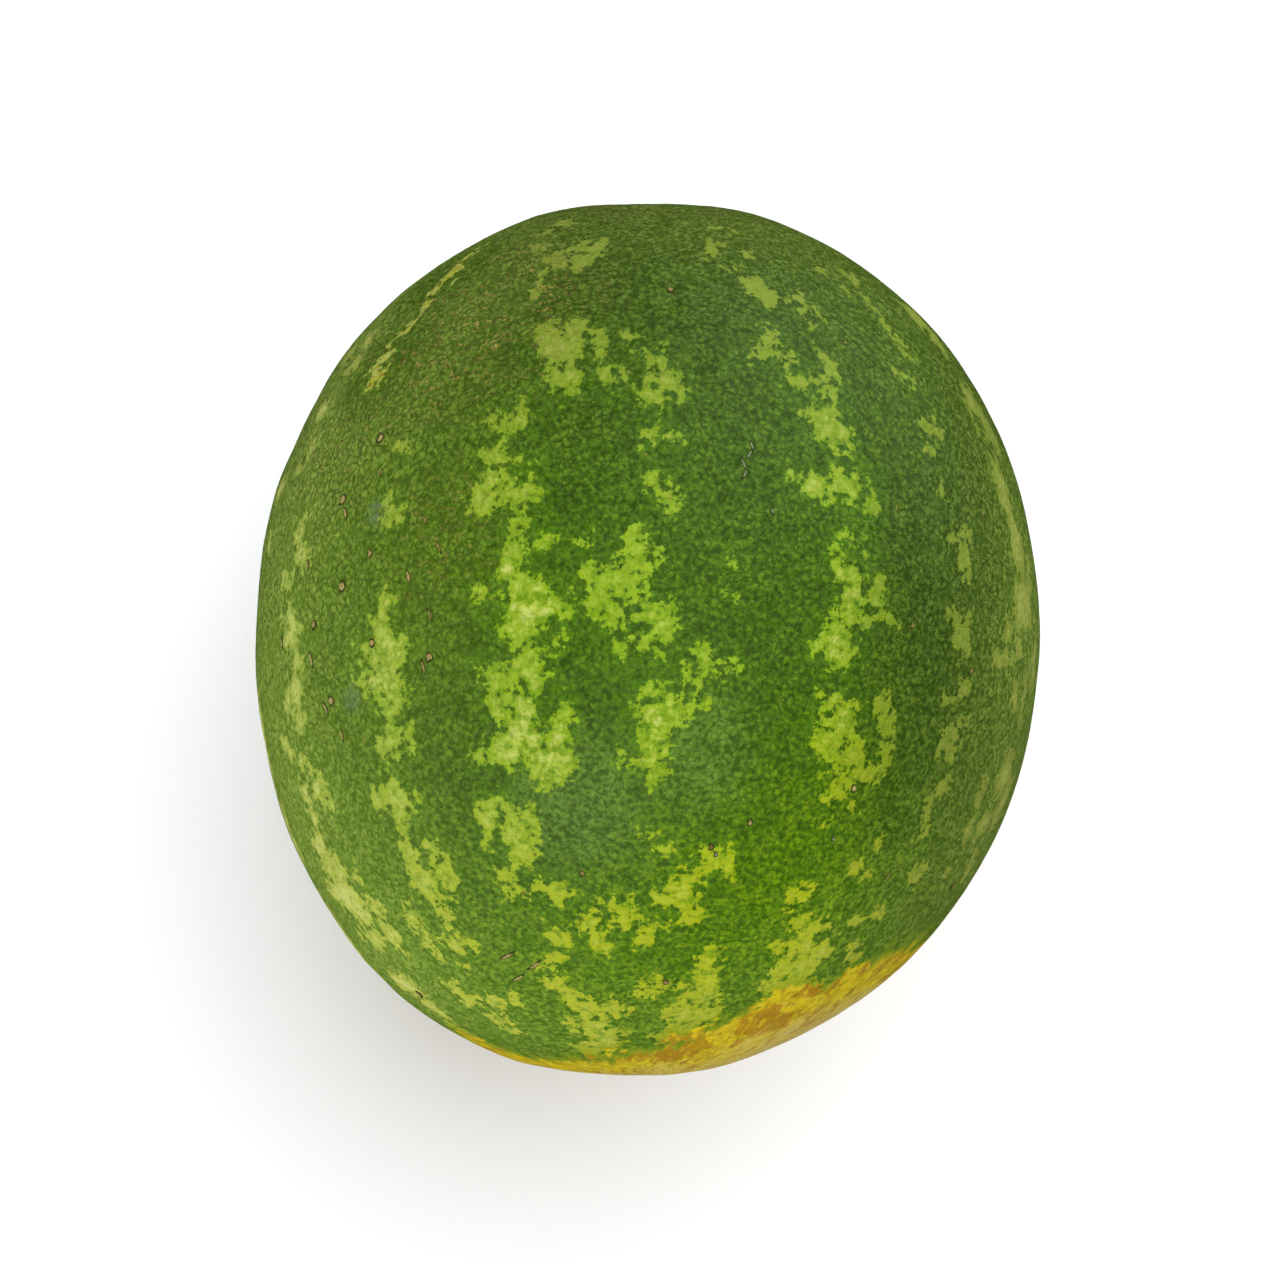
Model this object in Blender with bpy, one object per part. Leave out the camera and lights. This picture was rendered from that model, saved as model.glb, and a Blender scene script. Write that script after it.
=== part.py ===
"""A whole watermelon, lying on its side.

The fruit is one solid, because it grew as one piece. Its axis, from the stem end to the blossom
end, lies along +Y, +X is to the right of someone looking down on it with the blossom end away from
them, and +Z is up. The origin is on the surface it rests on, under the middle of its bounding box.

Run with: blender --background --python part.py
"""

import math

import bmesh
import bpy
from mathutils import Matrix, Vector

# Driving dimensions, in metres.
LENGTH = 0.2675  # along the fruit's axis, before the ends dip in
WIDTH = 0.240  # across the axis, side to side
SAG = 0.985  # height over width: a heavy fruit settles a little

# How much squarer than an ellipse each half is, as a superellipse's exponent. 2 is an ellipse.
BLOSSOM_BLUNTNESS = 2.06
STEM_BLUNTNESS = 2.02

# The stem end leans to one side, as the fruit hung or lay on its vine.
STEM_LEAN = 0.0055

# Each end dips in round its scar.
BLOSSOM_DIP_DEPTH = 0.0042
BLOSSOM_DIP_RADIUS = 0.0150
STEM_DIP_DEPTH = 0.0050
STEM_DIP_RADIUS = 0.0130

# Shallow lobes run from end to end, one over each of the fruit's main veins, and fade in the middle.
LOBES = 10
LOBE_SHARE = 0.0022  # of the radius
LOBE_SHARE_MIDDLE = 0.0008

# Long, low waves of uneven growth: (waves round the axis, share of the radius, turn in degrees,
# waves along the axis).
GROWTH_WAVES = (
    (2, 0.0030, 25.0, 0.0),
    (3, 0.0022, 100.0, 0.6),
    (5, 0.0014, 10.0, 1.3),
)

# The small flat spot that the fruit rests on.
REST_FLAT_RADIUS = 0.024

SEGMENTS = 72  # round the axis
RINGS = 44  # from pole to pole

RIND_GREEN = (0.045, 0.150, 0.012, 1.0)
RIND_ROUGHNESS = 0.42


def clear_scene():
    for thing in list(bpy.data.objects):
        bpy.data.objects.remove(thing, do_unlink=True)


def rind_material():
    material = bpy.data.materials.new("rind")
    material.use_nodes = True
    shader = material.node_tree.nodes["Principled BSDF"]
    shader.inputs["Base Color"].default_value = RIND_GREEN
    shader.inputs["Roughness"].default_value = RIND_ROUGHNESS
    shader.inputs["Metallic"].default_value = 0.0
    return material


def radius_factor(turn, along):
    """How uneven growth and the lobes change the radius, at an angle round the axis and a share
    of the half-length along it."""
    ends = along * along
    lobe = LOBE_SHARE_MIDDLE + (LOBE_SHARE - LOBE_SHARE_MIDDLE) * ends
    factor = 1.0 + lobe * math.cos(LOBES * turn)
    for waves, share, start, along_waves in GROWTH_WAVES:
        phase = waves * turn + math.radians(start) + along_waves * math.pi * along
        factor += share * math.cos(phase)
    return factor


def superellipse(share, bluntness):
    """A sine or cosine bent so that the outline follows a superellipse."""
    return math.copysign(abs(share) ** (2.0 / bluntness), share)


def fruit_point(direction):
    """The point of the rind that a unit sphere's point becomes. The sphere's poles are at +-Y."""
    along = direction.y
    blossom_half = along >= 0.0
    bluntness = BLOSSOM_BLUNTNESS if blossom_half else STEM_BLUNTNESS
    across = math.sqrt(max(0.0, 1.0 - along * along))
    turn = math.atan2(direction.x, direction.z)

    radius = WIDTH / 2 * superellipse(across, bluntness) * radius_factor(turn, along)
    y = LENGTH / 2 * superellipse(along, bluntness)
    if blossom_half:
        y -= BLOSSOM_DIP_DEPTH * math.exp(-((radius / BLOSSOM_DIP_RADIUS) ** 2))
    else:
        y += STEM_DIP_DEPTH * math.exp(-((radius / STEM_DIP_RADIUS) ** 2))

    lean = 0.0 if blossom_half else -STEM_LEAN * along * along
    return Vector((radius * math.sin(turn) + lean, y, SAG * radius * math.cos(turn)))


def fruit_mesh():
    shape = bmesh.new()
    bmesh.ops.create_uvsphere(shape, u_segments=SEGMENTS, v_segments=RINGS, radius=1.0)
    # The sphere's poles turn from +-Z to +-Y.
    bmesh.ops.rotate(
        shape,
        verts=shape.verts,
        cent=(0.0, 0.0, 0.0),
        matrix=Matrix.Rotation(math.radians(-90.0), 3, "X"),
    )
    for vert in shape.verts:
        vert.co = fruit_point(vert.co.normalized())
    return shape


def cut_rest_flat(shape):
    """Takes off the lowest sliver, which leaves a round flat to rest on."""
    lowest = min(vert.co.z for vert in shape.verts)
    depth = REST_FLAT_RADIUS**2 / WIDTH  # the sagitta of that radius on the fruit's side
    cut = bmesh.ops.bisect_plane(
        shape,
        geom=shape.verts[:] + shape.edges[:] + shape.faces[:],
        plane_co=(0.0, 0.0, lowest + depth),
        plane_no=(0.0, 0.0, -1.0),
        clear_outer=True,
    )
    rim = [item for item in cut["geom_cut"] if isinstance(item, bmesh.types.BMEdge)]
    bmesh.ops.holes_fill(shape, edges=rim, sides=0)
    bmesh.ops.recalc_face_normals(shape, faces=shape.faces)


def stand_on_origin(shape):
    """Puts the middle of the bounding box over the origin, with the flat at z = 0."""
    middle = Vector()
    for axis in (0, 1):
        places = [vert.co[axis] for vert in shape.verts]
        middle[axis] = (min(places) + max(places)) / 2
    middle.z = min(vert.co.z for vert in shape.verts)
    bmesh.ops.translate(shape, verts=shape.verts, vec=-middle)


def build_watermelon():
    shape = fruit_mesh()
    cut_rest_flat(shape)
    stand_on_origin(shape)
    mesh = bpy.data.meshes.new("watermelon")
    shape.to_mesh(mesh)
    shape.free()
    mesh.materials.append(rind_material())
    mesh.shade_smooth()
    mesh.set_sharp_from_angle(angle=math.radians(30.0))
    fruit = bpy.data.objects.new("watermelon", mesh)
    bpy.context.scene.collection.objects.link(fruit)
    return fruit


clear_scene()
build_watermelon()
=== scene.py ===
"""The look of a whole watermelon, lying on its side on a plain pale floor.

Its axis lies along Y, with the blossom end at +Y and the stem end at -Y. Places on the fruit are
given as degrees round it, from the line along its top towards +X, and degrees along it, from its
waist towards the blossom end.
"""

import math
import random
from types import SimpleNamespace

import bpy
import numpy as np
from mathutils import Matrix, Vector, noise


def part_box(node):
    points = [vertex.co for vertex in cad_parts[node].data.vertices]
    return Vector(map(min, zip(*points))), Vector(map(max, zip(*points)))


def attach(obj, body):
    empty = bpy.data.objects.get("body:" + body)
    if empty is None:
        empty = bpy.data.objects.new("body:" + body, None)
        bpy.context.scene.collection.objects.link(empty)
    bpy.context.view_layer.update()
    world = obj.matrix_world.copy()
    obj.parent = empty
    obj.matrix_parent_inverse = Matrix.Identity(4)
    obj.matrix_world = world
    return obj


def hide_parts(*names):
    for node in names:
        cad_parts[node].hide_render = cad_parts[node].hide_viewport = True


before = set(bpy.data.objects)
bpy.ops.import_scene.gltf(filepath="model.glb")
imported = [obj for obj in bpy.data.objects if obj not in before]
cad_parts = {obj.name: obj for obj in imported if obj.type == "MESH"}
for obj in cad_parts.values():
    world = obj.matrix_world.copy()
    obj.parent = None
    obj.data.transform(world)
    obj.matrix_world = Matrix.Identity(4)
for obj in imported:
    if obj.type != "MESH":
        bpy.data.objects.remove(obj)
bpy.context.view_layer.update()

# ---------------------------------------------------------------------------------------------
# The rind's shape. The fruit is one closed skin, thickest at the waist, grown over ten main veins
# that leave faint lobes. It is a cube of fine quads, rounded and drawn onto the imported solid.
MM = 0.001
RIND_CUTS_FIRST = 3  # the first pass of cuts makes a coarse cage, the second a fine one
RIND_CUTS_SECOND = 31
FORM_LEVELS = 2
RIND_EASE = 1.02  # how far outside the solid the skin starts
RIND_SMOOTHING = 0.5
RIND_SMOOTHING_PASSES = 6
MERGE_DISTANCE = 0.01 * MM
# Uneven growth: (wavelength, height) of the waves in the skin.
RIND_WAVES = ((34 * MM, 0.75 * MM), (11 * MM, 0.22 * MM), (4.5 * MM, 0.07 * MM))

low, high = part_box("watermelon")
heart = (low + high) / 2
half_size = (high - low) / 2


def deselect_all():
    for thing in bpy.context.selected_objects:
        thing.select_set(False)


def take(piece):
    """Makes one piece the only selected and active one."""
    deselect_all()
    piece.select_set(True)
    bpy.context.view_layer.objects.active = piece


def finish_with(piece, kind, **settings):
    """Adds a modifier to a piece and applies it."""
    take(piece)
    modifier = piece.modifiers.new(kind.lower(), kind)
    for name, value in settings.items():
        setattr(modifier, name, value)
    bpy.ops.object.modifier_apply(modifier=modifier.name)


def smooth_form():
    """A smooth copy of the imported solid, to draw the skin onto."""
    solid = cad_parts["watermelon"]
    form = bpy.data.objects.new("form", solid.data.copy())
    bpy.context.scene.collection.objects.link(form)
    take(form)
    bpy.ops.object.mode_set(mode="EDIT")
    bpy.ops.mesh.select_all(action="SELECT")
    bpy.ops.mesh.remove_doubles(threshold=MERGE_DISTANCE)
    bpy.ops.mesh.tris_convert_to_quads()
    bpy.ops.object.mode_set(mode="OBJECT")
    finish_with(form, "SUBSURF", levels=FORM_LEVELS, render_levels=FORM_LEVELS)
    return form


def fine_skin():
    """A rounded cube of even quads, a little larger than the fruit."""
    deselect_all()
    bpy.ops.mesh.primitive_cube_add(size=2.0)
    skin = bpy.context.object
    skin.name = "rind"
    bpy.ops.object.mode_set(mode="EDIT")
    bpy.ops.mesh.select_all(action="SELECT")
    bpy.ops.mesh.subdivide(number_cuts=RIND_CUTS_FIRST)
    bpy.ops.mesh.subdivide(number_cuts=RIND_CUTS_SECOND)
    bpy.ops.transform.tosphere(value=1.0)
    bpy.ops.object.mode_set(mode="OBJECT")
    bigger = half_size * RIND_EASE
    skin.data.transform(Matrix.Diagonal((*bigger, 1.0)))
    skin.data.transform(Matrix.Translation(heart))
    return skin


def add_growth_waves(skin):
    """Moves the skin in and out in long, low, uneven waves, and keeps it off the floor."""
    moved = []
    for vert in skin.data.vertices:
        lift = 0.0
        for wavelength, height in RIND_WAVES:
            lift += height * noise.noise(vert.co / wavelength)
        place = vert.co + vert.normal * lift
        place.z = max(place.z, low.z)
        moved.extend(place)
    skin.data.vertices.foreach_set("co", moved)
    skin.data.update()


rind_form = smooth_form()
rind = fine_skin()
finish_with(rind, "SHRINKWRAP", target=rind_form, wrap_method="NEAREST_SURFACEPOINT")
finish_with(rind, "SMOOTH", factor=RIND_SMOOTHING, iterations=RIND_SMOOTHING_PASSES)
bpy.data.objects.remove(rind_form, do_unlink=True)
add_growth_waves(rind)
rind.data.shade_smooth()
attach(rind, "root")
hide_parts("watermelon")

# ---------------------------------------------------------------------------------------------
# The rind's pattern. Pale, ragged patches break up each narrow stripe, between broad bands of dark
# green. Each patch is a few overlapping ovals; each oval is (degrees round, degrees along, half
# width, half length), all in degrees, and the skin's colours then fray their edges.
STRIPE_MID_LEFT = [
    (-17, 58.5, 3, 1.5), (-22, 58, 3, 1.5), (-20, 55, 3.5, 1.8), (-26, 55.5, 3, 1),
    (-27.5, 51, 1, 1.5), (-26, 48, 1, 0.8),
    (-21, 40, 2.5, 2), (-18.5, 42, 1.5, 1.5), (-15, 41, 2, 2), (-17, 38, 3.5, 2.5),
    (-10, 39.5, 2, 2), (-15, 34.5, 3, 2), (-14, 32, 1, 1.2), (-9, 34, 1.5, 0.8),
    (-5.3, 35, 0.7, 1.8), (-6, 40.3, 1.2, 0.6),
    (-21, 28, 1, 1.8), (-23, 26.5, 2, 1.2), (-26, 27.2, 1, 0.6), (-24.5, 22.5, 2.5, 1.5),
    (-21.5, 22, 1.5, 0.5), (-18.5, 22, 0.8, 0.8), (-24, 19, 1.8, 2.5), (-24.5, 16.5, 2.8, 1.5),
    (-20.5, 17, 1.5, 1.5), (-18, 18, 1.6, 1.8), (-18.8, 14, 1.3, 2.5),
    (-18.5, 10.5, 2, 2), (-14.5, 11.3, 1.8, 1), (-20, 8.5, 1.8, 1.8), (-17, 5.5, 3, 1.8),
    (-22.5, 5.3, 1.5, 0.6), (-16.5, 3, 2.8, 2.5), (-11.5, 4.2, 2.5, 0.8), (-17.5, 0.5, 2.5, 1.5),
    (-13.2, -0.5, 1.2, 1), (-16.3, -3.5, 2, 3), (-14, -2, 1, 2), (-15.5, -7, 1, 2),
    (-21, -5.5, 2, 2), (-23.5, -4.5, 1, 0.6), (-20.5, -9, 2, 3), (-17, -10.5, 2, 4),
    (-18.5, -13, 3.5, 2.5), (-11.8, -9.5, 1.5, 2.2), (-12.5, -12.5, 2, 1.5),
    (-14, -15.5, 3.5, 2.5), (-10.5, -15, 1.5, 1.5), (-14, -18, 2, 1.3), (-23, -15, 1.5, 0.7),
    (-23.5, -22.5, 1.7, 1.6), (-20.5, -22, 1.3, 1.3), (-24, -26, 1, 1.2), (-19.5, -24.5, 1.5, 2),
    (-16, -23.5, 1.3, 1.8), (-18, -27, 2.2, 2), (-21.5, -31.5, 1.5, 2.2), (-17, -32.5, 2, 1.3),
    (-13.5, -33, 1.8, 1.7),
    (-14, -40, 2.2, 2.2), (-15, -43, 1.5, 1.5), (-18, -45, 1.5, 0.8), (-17.5, -48.5, 2.5, 1.5),
    (-13.5, -50.5, 3, 2), (-12, -53.5, 4, 2.5), (-5, -53.5, 3.5, 1.8), (-11, -57.5, 4.5, 2.5),
    (-16, -58.5, 2.5, 0.9), (-8, -60.5, 5, 2.5), (-10, -63.5, 6, 2.5), (-16, -64.5, 4, 1.8),
]
STRIPE_MIDDLE = [
    (0, 37, 1.5, 1.5), (1, 34, 2, 1.5), (3, 33, 1, 1.5), (-1, 31, 2.5, 0.8), (0, 29, 0.8, 0.7),
    (-0.5, 25.7, 0.9, 1), (2.8, 26, 1, 0.8),
    (-0.5, 19, 1, 1), (1.5, 19.5, 1.3, 0.6), (2.5, 18, 1, 1.3), (1, 17, 0.8, 0.6),
    (-9.5, 11.8, 1, 0.8), (-2.5, 12, 1.5, 1.5), (-2, 9.5, 2.3, 1.8), (1, 10.2, 0.8, 0.6),
    (-8, 8.5, 1.8, 1.2), (-5, 7, 2.5, 1.3), (-1, 7.5, 1.5, 1.3), (-6, 4.5, 2.2, 1.8),
    (-5, 2.5, 1.6, 1.7), (-2, 5, 2, 0.7), (1, 3.5, 2, 1.5), (3.3, 5, 0.9, 0.9),
    (1.5, 1.5, 1.7, 1.3), (-2, 2.5, 1.2, 0.6), (0, -0.5, 1.5, 1), (-3.5, -1, 1.8, 0.8),
    (8, -1.5, 1.7, 1.6), (8, -4, 1.7, 1), (6, -4.2, 1, 0.5), (11.7, -2.7, 0.7, 0.5),
    (11, 10, 1, 0.9), (11.8, 6, 0.6, 0.5),
    (2, -6.5, 3.5, 1.3), (2, -9, 3.2, 2), (7, -7, 1.5, 1), (4.5, -8, 1.5, 1), (1.5, -12, 2.5, 2),
    (3.5, -12, 1, 1), (0, -15, 2.2, 1), (1.5, -17, 1.3, 1.2), (-2.5, -14.5, 1, 0.8),
    (2.8, -26.5, 1.3, 0.8), (1.5, -24, 1, 0.6),
    (12, -27.5, 2, 1.5), (14, -29, 1.3, 1), (9.5, -26, 0.8, 0.6), (7, -30, 1.8, 1.2),
    (7, -33, 3.2, 2.2), (9, -36, 2, 1), (3, -33, 1.5, 0.8),
    (-4, -35, 2.5, 1.2), (-8, -37.5, 2.5, 1.7), (-7, -40.5, 1.7, 2), (-1, -37, 2, 1.8),
    (1, -39.5, 1.8, 2), (3.5, -37.5, 1, 0.6),
    (3, -49, 3, 1.6), (7, -48, 2, 1), (0, -50, 2.5, 1), (13.5, -43, 2.5, 1.8),
    (13.5, -47, 2.8, 3), (15, -51, 3.8, 3), (12, -55, 4.5, 3), (18, -55.5, 4, 2.5),
    (14, -59, 5.5, 2.5), (10, -61.5, 5, 2),
]
STRIPE_MID_RIGHT = [
    (18, 65, 2, 1), (22, 64, 1.5, 0.5), (13.5, 58, 2, 1.5), (15, 60, 1.2, 0.8),
    (22.5, 57.5, 2, 1), (18, 54, 1.2, 1.3), (20.5, 51, 2.8, 2), (23, 49, 3, 2),
    (26, 48.8, 1.5, 1), (30, 49, 2, 1), (32, 46.5, 2, 0.8), (30, 45, 1, 1),
    (20, 41.5, 1.3, 1.5), (19.5, 39.2, 2, 1), (17, 38, 2, 0.8), (21.5, 38.5, 1, 1),
    (23.5, 37.3, 2.2, 0.9), (30.5, 37.5, 1.4, 1.8), (24.5, 34.5, 2, 1), (27, 35, 1, 0.8),
    (29, 32.5, 1.5, 1.4),
    (27, 29.5, 3, 1.2), (26.5, 27.5, 2, 1.8), (29.5, 27.5, 1.7, 2), (29.3, 24.5, 0.8, 1),
    (20.7, 21.7, 1, 0.8), (24, 20, 2, 1.6), (27, 20.5, 2, 1), (27.5, 22.2, 1.2, 1.2),
    (26.5, 19, 2, 0.8), (31, 21.5, 1.3, 1.8), (30, 19, 0.8, 0.8), (32.5, 17.3, 1.2, 1),
    (29, 14, 1, 1), (27, 11.8, 0.8, 1), (30.5, 11.5, 0.8, 1.5),
    (28.5, 9, 2, 1.3), (29, 6.5, 2, 2), (33, 6.5, 1.8, 2.2), (31.5, 6, 1.2, 1.2), (35, 4, 1, 0.8),
    (30, 3.5, 2, 1.5), (28, 4, 1.5, 1.5), (26, 1.5, 2.3, 2), (24.5, 0.5, 1.5, 0.7),
    (27, -1, 2, 2), (30, -0.5, 0.6, 1.6),
    (26, -7, 2.2, 1.5), (28.5, -9, 2.5, 2.8), (27, -12, 2.6, 2.5), (25.5, -10.5, 1.5, 2),
    (30, -13.5, 2.5, 2), (34.5, -7, 2.2, 1.3), (36, -10, 1.3, 2.5), (36, -13, 1.5, 1.5),
    (31.5, -16.5, 3, 1.5), (34.5, -15.5, 1.5, 1), (30, -18.5, 2.2, 1.2), (31.8, -20, 1.3, 0.8),
    (28.5, -22.5, 1.5, 0.8), (38.5, -29.5, 1.7, 1), (35, -29, 1.5, 0.8), (39, -25, 0.7, 1),
    (27, -33, 2, 1.8), (26.5, -35, 1.2, 1), (29, -37, 2.5, 1.5), (33, -38.5, 3, 1.5),
    (27, -41.5, 2, 1.5), (33, -41.5, 4, 2), (37, -42.5, 2.5, 2.5), (33, -45.5, 5, 2),
    (35, -49, 6, 2.5), (29, -48.5, 2, 1.5), (35, -52.5, 4.5, 2), (40, -50, 3, 1.5),
]
STRIPE_RIGHT = [
    (43.5, 56, 2, 1), (47, 52, 1.5, 1), (54.5, 56, 2.2, 1.8), (54, 53.5, 1.5, 1.3),
    (52, 49, 1.3, 1.6), (51.5, 44.5, 1.2, 1.5), (52.5, 42, 1.2, 1.8),
    (46, 37.5, 1.2, 0.8), (48.5, 36, 1, 1.5), (48, 33.5, 0.8, 1), (48, 29.5, 1, 0.7),
    (50.5, 29, 1, 1), (46.5, 25.5, 1, 0.6),
    (47, 20.5, 0.8, 0.8), (48, 14, 1.8, 1.3), (50, 12, 1.5, 2), (52, 15, 1, 0.8), (50, 9.8, 1, 1),
    (47, 4.5, 1.5, 1.3), (51, 4.5, 1, 1), (49, 1.5, 1.8, 1.8), (50, -0.5, 1.2, 1),
    (50.5, -4.5, 1.6, 1.3), (47, -6, 1.5, 1.2), (51, -9.5, 1.2, 1), (50, -12, 1.3, 2.3),
    (47.5, -12, 1, 1.5), (49.5, -17, 1.8, 1.5), (48, -20, 1.2, 2.2), (48, -23.5, 0.8, 1),
    (51.5, -30, 2, 1.5), (42, -37, 1.6, 1), (46.5, -36.5, 2, 1), (48, -44, 2.5, 1),
    (51, -46.5, 3, 1.3), (46, -42, 1.5, 0.8),
]
STRIPE_FAR_RIGHT = [
    (70, 48, 4.5, 3), (71, 43.5, 3, 3), (80, 52, 5, 1.5),
    (69, 34, 4, 3), (72, 31, 2.5, 4), (66, 29, 2, 1), (67.5, 22, 3, 5), (68, 14, 3, 5),
    (68, 6, 4, 4), (72, 10, 1.5, 3), (62, 2.5, 2, 1.5), (62.5, -0.5, 2, 1), (59, -1, 2, 1),
    (66, 1, 2, 2), (75, -1, 2, 5), (66, -5, 1.5, 2.5), (70, -7, 1, 4),
    (69, -16, 3, 3), (68, -23, 3, 2.5), (62, -18, 1.2, 3), (63, -24, 1.5, 2), (62, -30, 2, 1.2),
    (72, -29, 2.5, 3), (74, -20, 2.5, 4),
]
STRIPE_LEFT = [
    (-36, 66, 4.5, 1.5), (-38, 62.5, 1.3, 1), (-33, 57.5, 2.5, 1.3), (-38.5, 54.3, 1, 0.6),
    (-42.5, 23.3, 1.5, 0.5), (-41, 16.5, 0.8, 0.8), (-39.8, 14.2, 1.7, 1.3), (-50.5, 12, 0.8, 0.6),
    (-38.5, 3, 1, 1.5), (-39.5, 0, 2.3, 1.5), (-38, -2, 3.5, 2), (-42, -3, 2.5, 1.5),
    (-43, -6.5, 1.8, 1), (-39, -6, 3.5, 2.5), (-38, -9, 2, 1.5), (-38, -12.5, 2.2, 2),
    (-35, -11.5, 0.8, 2.2), (-39.2, -14.5, 1.8, 1.6),
    (-42, -22, 1.7, 1.5), (-41.5, -20, 0.8, 1), (-38, -21, 3, 2.3), (-38.5, -24, 1.2, 1.5),
    (-38.5, -28, 1.8, 1.8), (-37.5, -32.5, 3.2, 2.3), (-34, -27.5, 1.3, 1),
    (-33.5, -30.5, 1.5, 2), (-32.5, -32, 1.8, 1.8), (-33.5, -35, 1.5, 1),
    (-43, -38, 1.8, 2.2), (-42.5, -41, 1.7, 1.8), (-36, -38, 1.2, 1), (-36, -42, 2.5, 1.5),
    (-33.5, -41.8, 1.5, 0.8), (-36, -45.5, 1.5, 1), (-41, -44.5, 1, 1),
    (-43, -50, 1.7, 1.8), (-41.5, -53, 1.7, 1), (-38, -52.5, 2, 1.2), (-34, -52.5, 2, 1.5),
    (-28, -52, 1.5, 1.5), (-36, -56.5, 3, 1.5), (-34, -59, 3, 1.2),
]
STRIPE_FAR_LEFT = [
    (-60, 57, 2, 1.8), (-58, 53, 2.2, 1.8), (-56, 49, 2, 2), (-55.2, 46, 1.7, 1.5), (-55, 42, 1.2, 1),
    (-55.5, 37, 2, 1.8), (-56.5, 35, 1.8, 1.4), (-54.5, 33.5, 2.1, 1.6), (-52.5, 33, 1.4, 1.1),
    (-60, 14.5, 1.5, 0.6), (-61.5, 12, 2, 1.5), (-60, 9.5, 1.5, 1.5), (-58, 8.5, 1.3, 0.8),
    (-64, 6, 1.8, 1.2), (-62, 1.5, 2.2, 2), (-59, -0.5, 2, 1.5), (-61, -1, 2, 1.5),
    (-58.5, -4.5, 1.5, 1.5), (-60, -8, 2.5, 2.5), (-62.5, -10, 2, 1.5), (-59, -12, 2, 2),
    (-66, -15, 1.6, 1.2), (-64.5, -17, 1, 1), (-60, -17, 2.5, 1.5), (-57, -20, 2.5, 2),
    (-55, -22, 2, 1.5), (-62, -21.5, 2.2, 2), (-61, -24.5, 1.8, 1.3),
    (-62, -29, 2.8, 2), (-60, -31.5, 4, 2), (-61, -35.5, 5, 3), (-65, -36, 3.5, 2),
    (-59, -38.5, 3.5, 2), (-60, -42.5, 4, 1.8), (-52, -37.5, 2.3, 2), (-52.5, -41.5, 2.8, 2.2),
    (-51, -44.5, 1.3, 1), (-55.5, -32.5, 1.8, 0.8), (-62, -51, 5, 2.5), (-60, -56, 4, 3),
    (-62, -62, 4, 3),
]
STRIPE_LEFT_EDGE = [
    (-74, 38, 2.5, 2), (-67.5, 40, 3, 2), (-66, 36, 2.5, 1.5), (-69, 29, 3, 2), (-67, 24, 2, 2),
    (-69.5, 21, 1.5, 1.2), (-78, 18, 3, 2), (-75, 10.5, 2, 1.5), (-80, -15, 3, 7),
    (-79, -27, 3, 5), (-82, -45, 4, 8),
]
# Dark green gaps inside the patches, given in the same way.
GAPS = [
    (32.7, -10, 1.2, 2.6), (-36.7, -10.7, 0.9, 1.3), (-12, 35.8, 3, 0.9), (-2.5, -37.3, 0.8, 1.3),
    (-13.8, -10, 0.9, 3), (-21.5, 1.5, 1, 2.5),
]

# The stripes on the side that faces away and down, at these degrees round the fruit, grow by
# chance: short runs of ragged patches, with gaps between the runs.
HIDDEN_STRIPES = (88, 107, 127, 148, 168, 187, 206, 226, 246, 264)
HIDDEN_SEED = 11
HIDDEN_END = 72.0  # degrees along, either way
HIDDEN_STEP = (2.2, 4.2)
HIDDEN_PATCH_CHANCE = 0.62
HIDDEN_OVALS = (2, 4)  # in one patch
HIDDEN_OVAL_HALF_SIZE = (0.8, 2.6)
HIDDEN_SPREAD_ACROSS = 3.0
HIDDEN_SPREAD_ALONG = 1.8
HIDDEN_DRIFT = 2.2
HIDDEN_DRIFT_KEPT = 0.75  # the share of its drift that a stripe keeps from step to step


def grown_stripe(middle, chance):
    """The ovals of one stripe that grows by chance."""
    ovals = []
    along = -HIDDEN_END
    drift = 0.0
    while along < HIDDEN_END:
        drift = HIDDEN_DRIFT_KEPT * drift + chance.uniform(-HIDDEN_DRIFT, HIDDEN_DRIFT)
        if chance.random() < HIDDEN_PATCH_CHANCE:
            for _ in range(chance.randint(*HIDDEN_OVALS)):
                across = middle + drift + chance.uniform(-HIDDEN_SPREAD_ACROSS, HIDDEN_SPREAD_ACROSS)
                half_wide = chance.uniform(*HIDDEN_OVAL_HALF_SIZE)
                half_long = chance.uniform(*HIDDEN_OVAL_HALF_SIZE)
                place = along + chance.uniform(-HIDDEN_SPREAD_ALONG, HIDDEN_SPREAD_ALONG)
                ovals.append((across, place, half_wide, half_long))
        along += chance.uniform(*HIDDEN_STEP)
    return ovals


def skin_places(mesh):
    """Degrees round and degrees along for every vertex."""
    count = len(mesh.vertices)
    places = np.empty(count * 3)
    mesh.vertices.foreach_get("co", places)
    out = (places.reshape(count, 3) - np.array(heart)) / np.array(half_size)
    out /= np.linalg.norm(out, axis=1)[:, None]
    degrees_round = np.degrees(np.arctan2(out[:, 0], out[:, 2]))
    degrees_along = np.degrees(np.arcsin(np.clip(out[:, 1], -1.0, 1.0)))
    return degrees_round, degrees_along


MM_PER_DEGREE = math.radians(1.0) * half_size.x / MM
DEPTH_FAR_OUTSIDE = -12.0  # mm
OVAL_FADE = 6.0  # how many times its own size an oval is felt
PATCH_BLEND = 0.6  # how softly, in mm, ovals run together
GAP_BLEND = 0.4


def depth_inside(ovals, degrees_round, degrees_along, blend):
    """About how far, in mm, each place lies inside the nearest of a set of ovals."""
    depth = np.full(len(degrees_round), DEPTH_FAR_OUTSIDE)
    for middle_round, middle_along, half_wide, half_long in ovals:
        narrowing = math.cos(math.radians(middle_along))
        across = (degrees_round - middle_round + 180.0) % 360.0 - 180.0
        reach = np.hypot(across / half_wide, (degrees_along - middle_along) / half_long)
        size = min(half_wide * narrowing, half_long) * MM_PER_DEGREE
        near = reach < OVAL_FADE
        inside = (1.0 - reach[near]) * size
        depth[near] = blend * np.logaddexp(depth[near] / blend, inside / blend)
    return depth


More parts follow.
